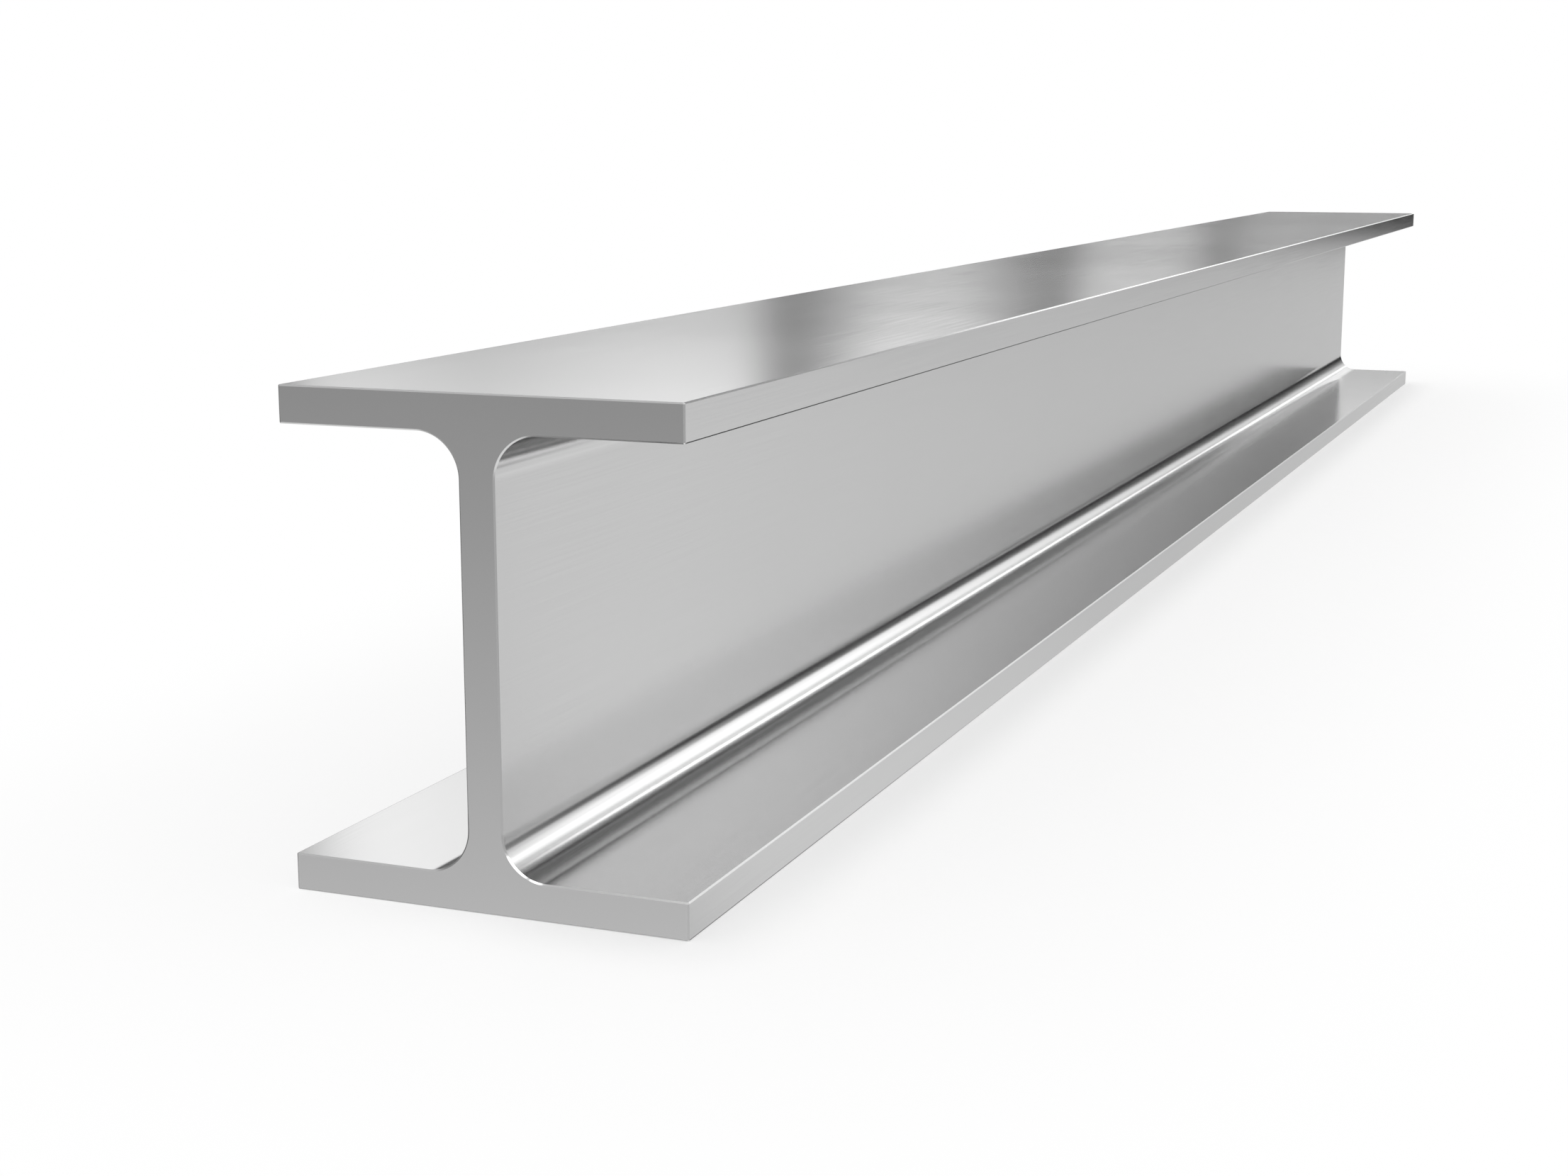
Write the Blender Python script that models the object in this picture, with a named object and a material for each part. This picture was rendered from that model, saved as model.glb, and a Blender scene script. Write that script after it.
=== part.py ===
"""Stainless steel I-beam: one cut length of stock, standing on its bottom flange.

Units are metres, with +Z up. The beam runs along Y. The origin is under its middle, on
the surface that it stands on.
"""

import math

import bmesh
import bpy

# Section, seen from the end
DEPTH = 0.160
FLANGE_WIDTH = 0.135
FLANGE_THICKNESS = 0.012
WEB_THICKNESS = 0.012
ROOT_RADIUS = 0.0142

# Cut length
LENGTH = 1.686

# Every outer edge is broken with a small round
EDGE_BREAK = 0.0005

# Fineness of the round stretches
ROOT_FACETS = 20
EDGE_FACETS = 3
SHARPEST_ROUND = math.radians(30)

# Satin stainless steel
STEEL_COLOUR = (0.66, 0.67, 0.68, 1.0)
STEEL_ROUGHNESS = 0.3


def clear_scene():
    for old in list(bpy.data.objects):
        bpy.data.objects.remove(old, do_unlink=True)


def quarter_outline():
    """Upper right quarter of the section, from the web round the root to the flange's outer corner."""
    toe_x = FLANGE_WIDTH / 2
    top_z = DEPTH / 2
    under_flange_z = top_z - FLANGE_THICKNESS
    centre_x = WEB_THICKNESS / 2 + ROOT_RADIUS
    centre_z = under_flange_z - ROOT_RADIUS
    points = []
    for step in range(ROOT_FACETS + 1):
        angle = math.pi / 2 * step / ROOT_FACETS
        x = centre_x - ROOT_RADIUS * math.cos(angle)
        z = centre_z + ROOT_RADIUS * math.sin(angle)
        points.append((x, z))
    points.append((toe_x, under_flange_z))
    points.append((toe_x, top_z))
    return points


def section_outline():
    """The whole section about its own centre, anticlockwise as seen from -Y."""
    upper_right = quarter_outline()
    lower_right = [(x, -z) for x, z in reversed(upper_right)]
    right = lower_right + upper_right
    left = [(-x, z) for x, z in reversed(right)]
    return right + left


def beam_mesh():
    """The section as one face at the near end, extruded to the far end."""
    shape = bmesh.new()
    corners = [shape.verts.new((x, -LENGTH / 2, z + DEPTH / 2)) for x, z in section_outline()]
    near_end = shape.faces.new(corners)
    grown = bmesh.ops.extrude_face_region(shape, geom=[near_end])
    far_corners = [item for item in grown["geom"] if isinstance(item, bmesh.types.BMVert)]
    bmesh.ops.translate(shape, verts=far_corners, vec=(0, LENGTH, 0))
    bmesh.ops.recalc_face_normals(shape, faces=shape.faces)
    mesh = bpy.data.meshes.new("i_beam")
    shape.to_mesh(mesh)
    shape.free()
    mesh.shade_smooth()
    return mesh


def satin_steel():
    material = bpy.data.materials.new("satin_stainless")
    material.use_nodes = True
    shader = material.node_tree.nodes["Principled BSDF"]
    shader.inputs["Base Color"].default_value = STEEL_COLOUR
    shader.inputs["Metallic"].default_value = 1.0
    shader.inputs["Roughness"].default_value = STEEL_ROUGHNESS
    return material


def break_edges(piece):
    """Rounds the flange toes and both end outlines, and leaves the root fillets alone."""
    rounding = piece.modifiers.new("broken_edges", "BEVEL")
    rounding.width = EDGE_BREAK
    rounding.segments = EDGE_FACETS
    rounding.limit_method = "ANGLE"
    rounding.angle_limit = SHARPEST_ROUND
    rounding.harden_normals = True


def add_beam():
    piece = bpy.data.objects.new("i_beam", beam_mesh())
    piece.data.materials.append(satin_steel())
    break_edges(piece)
    bpy.context.collection.objects.link(piece)


clear_scene()
add_beam()
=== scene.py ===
import math

import bpy
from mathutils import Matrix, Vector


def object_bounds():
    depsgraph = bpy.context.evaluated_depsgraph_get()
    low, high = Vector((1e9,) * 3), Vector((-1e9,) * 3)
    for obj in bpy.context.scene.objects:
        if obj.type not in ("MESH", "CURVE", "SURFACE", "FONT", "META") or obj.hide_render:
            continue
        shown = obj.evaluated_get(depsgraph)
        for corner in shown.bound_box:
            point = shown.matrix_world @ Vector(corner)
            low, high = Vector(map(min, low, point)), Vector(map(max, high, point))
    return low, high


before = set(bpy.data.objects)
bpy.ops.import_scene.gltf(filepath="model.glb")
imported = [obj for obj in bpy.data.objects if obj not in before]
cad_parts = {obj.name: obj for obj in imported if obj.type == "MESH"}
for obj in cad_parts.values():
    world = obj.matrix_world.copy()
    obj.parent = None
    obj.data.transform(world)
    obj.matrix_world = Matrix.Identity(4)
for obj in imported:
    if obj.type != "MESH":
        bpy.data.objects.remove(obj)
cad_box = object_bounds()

# Looks of the stainless steel I-beam: satin metal on a white floor, lit by a white room with softboxes.
# Units are metres, with +Z up. The beam lies along Y, and the camera looks at its near end at -Y.
# Directions in the room are azimuths, from 0 along +Y to 90 along +X, and elevations, both in degrees.

# Camera
CAMERA_PLACE = (0.33675, -1.44930, 0.23522)
CAMERA_LOOKS_DOWN = 10.98
CAMERA_TURNS_LEFT = 21.52
LENS_MM = 54.01
SENSOR_MM = 36

# Satin stainless steel, with fine grain along the beam and wide faint clouds
STEEL_GREY = 0.62
STEEL_EDGE_TINT = 0.66
STEEL_ROUGHNESS = 0.18
GRAIN_ACROSS = 1500
GRAIN_ALONG = 12
GRAIN_DETAIL = 2
GRAIN_ROUGHNESS = 0.012
GRAIN_RELIEF = 0.000001
CLOUD_SCALE = 9
CLOUD_DETAIL = 3
CLOUD_ROUGHNESS = 0.005
CLOUD_GREY = 0.004
NOISE_RANGE = (0.3, 0.7)

# Wear: how far it reaches from an edge, how much lighter it is, and the cosines of the turn of the surface
# at which it starts and is full
WORN_WIDTH = 0.0012
WORN_GREY = 0.04
WORN_TURNS = (0.995, 0.90)

# Rounds: the least part of a normal that counts as tilted, the distance from the web's middle within which
# a round is a root, and the distance within which two corners are joined
LEAST_TILT = 0.2
ROOT_REACH = 0.03
JOIN_REACH = 0.00001
ACROSS_BEAM = (1, 0, 1)
ALONG_BEAM = (0, 1, 0)

# Floor: round the beam it returns a share of the room's light, which the beam shades, and its own glow makes
# up the rest to plain white. The share grows towards the beam's right foot, within CONTACT_REACH of it,
# which paints the shadow deeper at that foot, and fades to nothing between the two distances of
# SHADOW_FADES.
FLOOR_REACH = 80
OPEN_SHARE = 0.28
RIGHT_FOOT_PAINTED_SHADE_SHARE = 0.66
CONTACT_REACH = 0.035
SHADOW_FADES = (0.10, 0.25)

# Cards: the distance of the first one, how much nearer each later one is, the most degrees between two of
# their points, and the middle of the range from 0 to 1 that runs from one edge of a card to the other
CARD_DISTANCE = 40
CARD_SPACING = 1
CARD_STEP = 3
CARD_MIDDLE = 0.5


def add_node(tree, kind, inputs=(), **settings):
    """A shader node. Each of its inputs is a plain value or another node's output."""
    made = tree.nodes.new(kind)
    for name, value in settings.items():
        setattr(made, name, value)
    for name, value in dict(inputs).items():
        if isinstance(value, bpy.types.NodeSocket):
            tree.links.new(value, made.inputs[name])
        else:
            made.inputs[name].default_value = value
    return made


def empty_material(name):
    material = bpy.data.materials.new(name)
    material.use_nodes = True
    material.node_tree.nodes.clear()
    return material


def finish_material(tree, surface):
    add_node(tree, "ShaderNodeOutputMaterial", {"Surface": surface})


def maths(tree, operation, first, second=0.0):
    return add_node(tree, "ShaderNodeMath", {0: first, 1: second}, operation=operation).outputs[0]


def map_range(tree, value, start, end, result_start, result_end):
    inputs = {0: value, 1: start, 2: end, 3: result_start, 4: result_end}
    return add_node(tree, "ShaderNodeMapRange", inputs, interpolation_type="SMOOTHSTEP").outputs[0]


def vector(tree, operation, first, second=(0, 0, 0)):
    return add_node(tree, "ShaderNodeVectorMath", {0: first, 1: second}, operation=operation).outputs[0]


def scaled(tree, value, scale):
    inputs = {0: value, "Scale": scale}
    return add_node(tree, "ShaderNodeVectorMath", inputs, operation="SCALE").outputs[0]


def separate(tree, place):
    return add_node(tree, "ShaderNodeSeparateXYZ", {0: place}).outputs


def plain_grey(tree, value):
    return add_node(tree, "ShaderNodeCombineColor", {0: value, 1: value, 2: value}).outputs[0]


def noise(tree, place, scale, detail):
    stretched = add_node(tree, "ShaderNodeMapping", {"Vector": place, "Scale": scale}).outputs[0]
    inputs = {"Vector": stretched, "Scale": 1.0, "Detail": detail}
    return add_node(tree, "ShaderNodeTexNoise", inputs).outputs[0]


def edge_normal(tree, place, geometry):
    """Turns the whole of each broken edge halfway between its neighbours, and leaves the roots round."""
    true_normal = geometry.outputs["True Normal"]
    least = (LEAST_TILT, LEAST_TILT, LEAST_TILT)
    past_least = vector(tree, "SUBTRACT", vector(tree, "ABSOLUTE", true_normal), least)
    tilted = vector(tree, "CEIL", past_least)
    even = vector(tree, "MULTIPLY", vector(tree, "SIGN", true_normal), tilted)
    flat_part = vector(tree, "MULTIPLY", even, ACROSS_BEAM)
    along = vector(tree, "MULTIPLY", even, ALONG_BEAM)

    smooth_across = vector(tree, "MULTIPLY", geometry.outputs["Normal"], ACROSS_BEAM)
    across = vector(tree, "MULTIPLY", true_normal, ACROSS_BEAM)
    length = add_node(tree, "ShaderNodeVectorMath", {0: across}, operation="LENGTH").outputs["Value"]
    is_across = maths(tree, "GREATER_THAN", length, LEAST_TILT)
    round_part = scaled(tree, vector(tree, "NORMALIZE", smooth_across), is_across)

    x = separate(tree, place)["X"]
    by_web = maths(tree, "LESS_THAN", maths(tree, "ABSOLUTE", x), ROOT_REACH)
    by_toe = maths(tree, "SUBTRACT", 1.0, by_web)
    both = vector(tree, "ADD", scaled(tree, round_part, by_web), scaled(tree, flat_part, by_toe))
    return vector(tree, "NORMALIZE", vector(tree, "ADD", both, along))


def edge_wear(tree, geometry):
    """1 where the surface turns sharply within WORN_WIDTH, and 0 where it is flat."""
    rounded = add_node(tree, "ShaderNodeBevel", {"Radius": WORN_WIDTH}).outputs[0]
    inputs = {0: rounded, 1: geometry.outputs["True Normal"]}
    turned = add_node(tree, "ShaderNodeVectorMath", inputs, operation="DOT_PRODUCT")
    return map_range(tree, turned.outputs["Value"], *WORN_TURNS, 0, 1)


def satin_stainless():
    """Fine grain along the beam, faint clouds in the finish, and edges worn a little brighter."""
    material = empty_material("satin_stainless")
    tree = material.node_tree
    place = add_node(tree, "ShaderNodeTexCoord").outputs["Object"]
    geometry = add_node(tree, "ShaderNodeNewGeometry")
    grain = noise(tree, place, (GRAIN_ACROSS, GRAIN_ALONG, GRAIN_ACROSS), GRAIN_DETAIL)
    cloud = noise(tree, place, (CLOUD_SCALE, CLOUD_SCALE, CLOUD_SCALE), CLOUD_DETAIL)

    darkest = STEEL_GREY - CLOUD_GREY
    lightest = STEEL_GREY + CLOUD_GREY
    clouded = map_range(tree, cloud, *NOISE_RANGE, darkest, lightest)
    worn = maths(tree, "MULTIPLY", edge_wear(tree, geometry), WORN_GREY)
    colour = plain_grey(tree, maths(tree, "ADD", clouded, worn))

    smoothest = STEEL_ROUGHNESS - CLOUD_ROUGHNESS
    roughest = STEEL_ROUGHNESS + CLOUD_ROUGHNESS
    cloud_share = map_range(tree, cloud, *NOISE_RANGE, smoothest, roughest)
    grain_share = map_range(tree, grain, *NOISE_RANGE, -GRAIN_ROUGHNESS, GRAIN_ROUGHNESS)

    facing = edge_normal(tree, place, geometry)
    inputs = {"Height": grain, "Distance": GRAIN_RELIEF, "Normal": facing}
    relief = add_node(tree, "ShaderNodeBump", inputs).outputs[0]
    inputs = {
        "Base Color": colour,
        "Metallic": 1.0,
        "Roughness": maths(tree, "ADD", cloud_share, grain_share),
        "Specular Tint": (STEEL_EDGE_TINT, STEEL_EDGE_TINT, STEEL_EDGE_TINT, 1),
        "Normal": relief,
    }
    finish_material(tree, add_node(tree, "ShaderNodeBsdfPrincipled", inputs).outputs[0])
    return material


def smooth_beam():
    """Joins the triangles' corners and smooths the shading of the rounds, with the flat faces kept flat."""
    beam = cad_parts["i_beam"]
    joined = bpy.data.node_groups.new("joined_and_smooth", "GeometryNodeTree")
    joined.interface.new_socket("Geometry", in_out="INPUT", socket_type="NodeSocketGeometry")
    joined.interface.new_socket("Geometry", in_out="OUTPUT", socket_type="NodeSocketGeometry")
    shape = joined.nodes.new("NodeGroupInput").outputs[0]
    for attribute in ("custom_normal", "sharp_edge", "sharp_face"):
        inputs = {"Geometry": shape, "Name": attribute}
        shape = add_node(joined, "GeometryNodeRemoveAttribute", inputs).outputs[0]
    inputs = {"Geometry": shape, "Distance": JOIN_REACH}
    shape = add_node(joined, "GeometryNodeMergeByDistance", inputs).outputs[0]
    add_node(joined, "NodeGroupOutput", {"Geometry": shape})
    beam.modifiers.new("joined_and_smooth", "NODES").node_group = joined
    even = beam.modifiers.new("flat_faces_stay_flat", "WEIGHTED_NORMAL")
    even.keep_sharp = False
    for slot in beam.material_slots:
        slot.material = satin_stainless()


def add_camera():
    camera = bpy.data.objects.new("camera", bpy.data.cameras.new("camera"))
    camera.location = CAMERA_PLACE
    camera.rotation_euler = (math.radians(90 - CAMERA_LOOKS_DOWN), 0, math.radians(CAMERA_TURNS_LEFT))
    camera.data.lens = LENS_MM
    camera.data.sensor_width = SENSOR_MM
    bpy.context.scene.collection.objects.link(camera)
    bpy.context.scene.camera = camera


def distance_from_beam(tree, place):
    """Distance on the floor from the rectangle that the beam stands on."""
    low, high = cad_box
    parts = separate(tree, place)
    squares = []
    for axis, half in (("X", (high.x - low.x) / 2), ("Y", (high.y - low.y) / 2)):
        beyond = maths(tree, "SUBTRACT", maths(tree, "ABSOLUTE", parts[axis]), half)
        outside = maths(tree, "MAXIMUM", beyond, 0.0)
        squares.append(maths(tree, "MULTIPLY", outside, outside))
    return maths(tree, "SQRT", maths(tree, "ADD", *squares))


def floor_white():
    """White, with the beam's soft shadow in the share of the light that comes from the room, painted deeper
    towards its right foot.
    """
    material = empty_material("floor_white")
    tree = material.node_tree
    low, high = cad_box
    place = add_node(tree, "ShaderNodeTexCoord").outputs["Object"]
    x = separate(tree, place)["X"]
    away = distance_from_beam(tree, place)
    # Painted shade: the share grows by place towards the beam's right foot, so that the shadow is deeper
    # there
    foot_painted_shade_share = map_range(tree, x, low.x, high.x, OPEN_SHARE, RIGHT_FOOT_PAINTED_SHADE_SHARE)
    close_painted_shade_share = map_range(tree, away, 0, CONTACT_REACH, foot_painted_shade_share, OPEN_SHARE)
    share = maths(tree, "MULTIPLY", close_painted_shade_share, map_range(tree, away, *SHADOW_FADES, 1, 0))
    matt = add_node(tree, "ShaderNodeBsdfDiffuse", {"Color": plain_grey(tree, share)}).outputs[0]
    rest = maths(tree, "SUBTRACT", 1.0, share)
    glow = add_node(tree, "ShaderNodeEmission", {"Strength": rest}).outputs[0]
    finish_material(tree, add_node(tree, "ShaderNodeAddShader", {0: matt, 1: glow}).outputs[0])
    material.cycles.emission_sampling = "NONE"
    return material


def add_floor():
    """A wide floor that the steel doesn't reflect: the steel shows the white room and the cards instead."""
    corners = [(x * FLOOR_REACH, y * FLOOR_REACH, 0) for x, y in ((-1, -1), (1, -1), (1, 1), (-1, 1))]
    mesh = bpy.data.meshes.new("floor")
    mesh.from_pydata(corners, [], [(0, 1, 2, 3)])
    mesh.materials.append(floor_white())
    floor = bpy.data.objects.new("floor", mesh)
    floor.visible_glossy = False
    bpy.context.scene.collection.objects.link(floor)


def inside_edges(tree, place, softness):
    """Rises from 0 at both ends of a range from 0 to 1, over the soft share of it, to 1 between them."""
    from_edge = maths(tree, "PINGPONG", place, CARD_MIDDLE)
    return map_range(tree, from_edge, 0, softness, 0, 1)


def card_light(name, brightness, softness_first, softness_second):
    """An even glow that fades out towards the card's edges."""
    material = empty_material(name)
    tree = material.node_tree
    parts = separate(tree, add_node(tree, "ShaderNodeUVMap").outputs[0])
    inside_first = inside_edges(tree, parts["X"], softness_first)
    inside_second = inside_edges(tree, parts["Y"], softness_second)
    inside = maths(tree, "MULTIPLY", inside_first, inside_second)
    glow = add_node(tree, "ShaderNodeEmission", {"Strength": brightness}).outputs[0]
    clear = add_node(tree, "ShaderNodeBsdfTransparent").outputs[0]
    mixed = add_node(tree, "ShaderNodeMixShader", {0: inside, 1: clear, 2: glow}).outputs[0]
    finish_material(tree, mixed)
    material.cycles.emission_sampling = "NONE"
    return material


def toward(azimuth, elevation):
    """Unit vector to a place round the room."""
    level = math.cos(elevation)
    return level * math.sin(azimuth), level * math.cos(azimuth), math.sin(elevation)


def beside(turn, opening):
    """Unit vector to a place beside the beam: turned from +X up to +Z, and opened out from +Y."""
    out = math.sin(opening)
    return out * math.cos(turn), math.cos(opening), out * math.sin(turn)


def width(angles):
    low, high = angles
    return high - low


def card_grid(spread, first, second):
    """A card's points, at most CARD_STEP apart, its faces, and how far along both ranges each point is."""
    columns = math.ceil(width(first) / CARD_STEP)
    rows = math.ceil(width(second) / CARD_STEP)
    points = []
    shares = []
    for column in range(columns + 1):
        for row in range(rows + 1):
            share = (column / columns, row / rows)
            angles = [pair[0] + width(pair) * part for pair, part in zip((first, second), share)]
            points.append(spread(*map(math.radians, angles)))
            shares.append(share)
    faces = []
    for column in range(columns):
        for row in range(rows):
            corner = column * (rows + 1) + row
            faces.append((corner, corner + 1, corner + rows + 2, corner + rows + 1))
    return points, faces, shares


def add_card(order, name, spread, first, second, brightness, soft_first, soft_second):
    """A card bent round the beam, which only reflections show. Each later card covers the earlier ones."""
    points, faces, shares = card_grid(spread, first, second)
    distance = CARD_DISTANCE - CARD_SPACING * order
    mesh = bpy.data.meshes.new(name)
    mesh.from_pydata([[distance * part for part in point] for point in points], [], faces)
    layout = mesh.uv_layers.new(name="card")
    for loop in mesh.loops:
        layout.data[loop.index].uv = shares[loop.vertex_index]
    softness = (soft_first / width(first), soft_second / width(second))
    mesh.materials.append(card_light(name, brightness, *softness))
    card = bpy.data.objects.new(name, mesh)
    card.visible_camera = False
    card.visible_diffuse = False
    bpy.context.scene.collection.objects.link(card)


# The cards, from the furthest to the nearest: name, how it is spread, its two ranges of angles in degrees,
# brightness, and how many degrees its soft edges take up in each range
CARDS = [
    ("back_wall", toward, (100, 315), (-33, 60), 0.35, 8, 33),
    ("right_corner_wall", toward, (56, 150), (-33, 60), 0.55, 10, 33),
    ("back_ceiling", toward, (160, 320), (38, 88), 0.7, 10, 8),
    ("key_softbox", toward, (113, 165), (20, 62), 4, 4, 5),
    ("back_softbox", toward, (177, 224), (56, 78), 3, 5, 4),
    ("right_end_wall", toward, (40, 80), (-3, 60), 0.2, 6, 2.5),
    ("left_floor_flag", toward, (-50, 0), (-9, 1.5), 0.4, 4.5, 3),
    ("left_front_wall", toward, (-52, 33), (4.5, 75), 0.4, 2.5, 2.5),
    ("left_softbox", toward, (-35, -21.7), (3, 39), 1.95, 1.5, 2),
    ("left_softbox_seam", toward, (-35, -24.5), (0, 39), 1.5, 6.5, 2),
    ("middle_softbox", toward, (-22, -14.8), (6, 36), 3.1, 3, 3.5),
    ("third_softbox", toward, (-15, -10.9), (6.5, 19), 2.85, 1, 1),
    ("fourth_softbox", toward, (-11.2, 5), (6, 12.7), 2.6, 1.2, 2),
    ("right_dark_wall", toward, (0.7, 46), (-2.3, 52), 0, 1.2, 0.4),
    ("right_low_strip", beside, (5, 53), (0, 37), 1.8, 5.5, 2.5),
    ("right_far_shade", beside, (19, 49), (7, 24), 1.4, 5.5, 6.5),
    ("right_near_core", beside, (29, 44), (20, 60), 2.2, 4, 8),
    ("right_middle_strip", beside, (49.5, 60), (0, 38), 1.25, 2.5, 2),
    ("right_high_strip", beside, (62, 77.5), (0, 20), 2.7, 0.8, 2),
    ("right_near_high_strip", beside, (60.5, 70), (14, 34), 4, 0.8, 2),
    ("right_floor_flag", beside, (-114, -74), (22, 66), 0, 4, 7),
    ("right_floor_shade", beside, (-56, -33), (21, 61), 0, 3, 6),
    ("left_low_flag", toward, (-38, -0.4), (-5, 6.9), 0.1, 1.5, 1),
    ("right_near_flag", toward, (22, 60), (-4, 3.3), 0, 1, 0.5),
    ("right_low_flag", toward, (5.8, 30), (0.3, 8), 0.1, 0.6, 0.9),
    ("right_floor_glow", toward, (11, 30), (-25.5, -11), 1.1, 4, 3),
    ("right_side_flag", toward, (30, 56), (-60, 30), 0.5, 9, 2.5),
]


def add_room():
    world = bpy.data.worlds.new("white_room")
    world.use_nodes = True
    world.node_tree.nodes["Background"].inputs["Color"].default_value = (1, 1, 1, 1)
    world.cycles.sampling_method = "NONE"
    bpy.context.scene.world = world
    add_floor()
    for order, card in enumerate(CARDS):
        add_card(order, *card)


bpy.context.scene.view_settings.view_transform = "Standard"
add_camera()
smooth_beam()
add_room()
